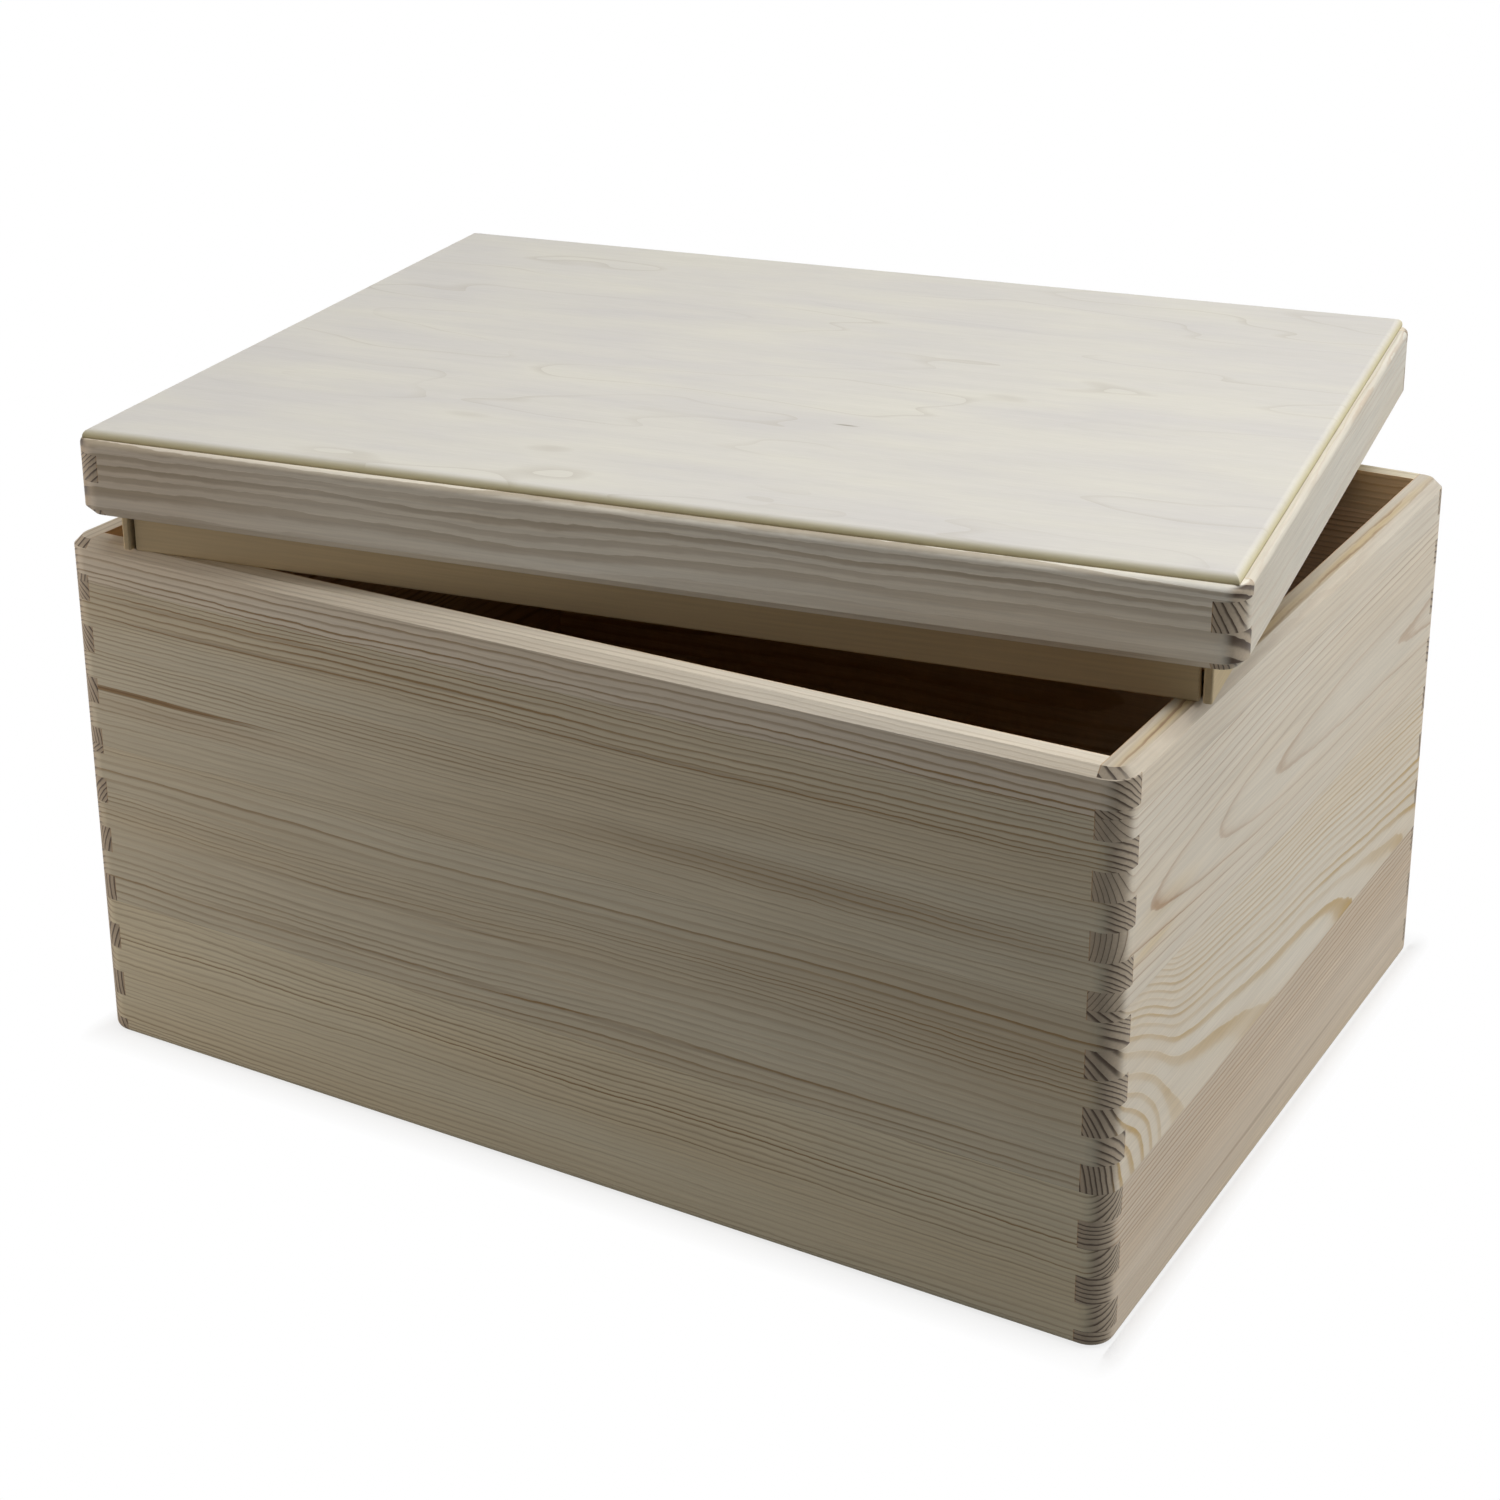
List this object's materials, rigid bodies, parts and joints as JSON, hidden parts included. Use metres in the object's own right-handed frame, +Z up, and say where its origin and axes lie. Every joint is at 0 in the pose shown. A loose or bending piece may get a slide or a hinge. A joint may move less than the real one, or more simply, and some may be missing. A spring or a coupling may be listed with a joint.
{
  "type": "storage box",
  "caption": "Rectangular unfinished pine storage box with finger-jointed corners and a loose plywood-topped lid that lies askew on the rim and lifts off.",
  "frame": {"origin": "middle of the box's underside, where the bottom panel meets the floor", "axes": "+X along the length towards the right, +Y towards the rear, +Z up; the front looks along -Y"},
  "size_m": [0.4388, 0.3552, 0.239],
  "materials": {
    "pine": "bare planed and sanded pine",
    "lid_plywood": "bare sanded birch plywood",
    "lip_plywood": "bare sawn plywood strip",
    "bottom_plywood": "bare plywood"
  },
  "bodies": {
    "box": {"front_base_board": "pine", "front_lower_board": "pine", "front_upper_board": "pine", "front_rim_board": "pine", "right_base_board": "pine", "right_lower_board": "pine", "right_upper_board": "pine", "right_rim_board": "pine", "rear_base_board": "pine", "rear_lower_board": "pine", "rear_upper_board": "pine", "rear_rim_board": "pine", "left_base_board": "pine", "left_lower_board": "pine", "left_upper_board": "pine", "left_rim_board": "pine", "bottom_panel": "bottom_plywood"},
    "lid": {"lid_front_rail": "pine", "lid_right_rail": "pine", "lid_rear_rail": "pine", "lid_left_rail": "pine", "lid_panel": "lid_plywood", "lip_front_strip": "lip_plywood", "lip_right_strip": "lip_plywood", "lip_rear_strip": "lip_plywood", "lip_left_strip": "lip_plywood"}
  },
  "joints": [
    {"name": "lid_lift", "type": "slide", "parent": "box", "child": "lid", "axis": [0, 0, 1], "range_m": [0, 0.2]}
  ]
}
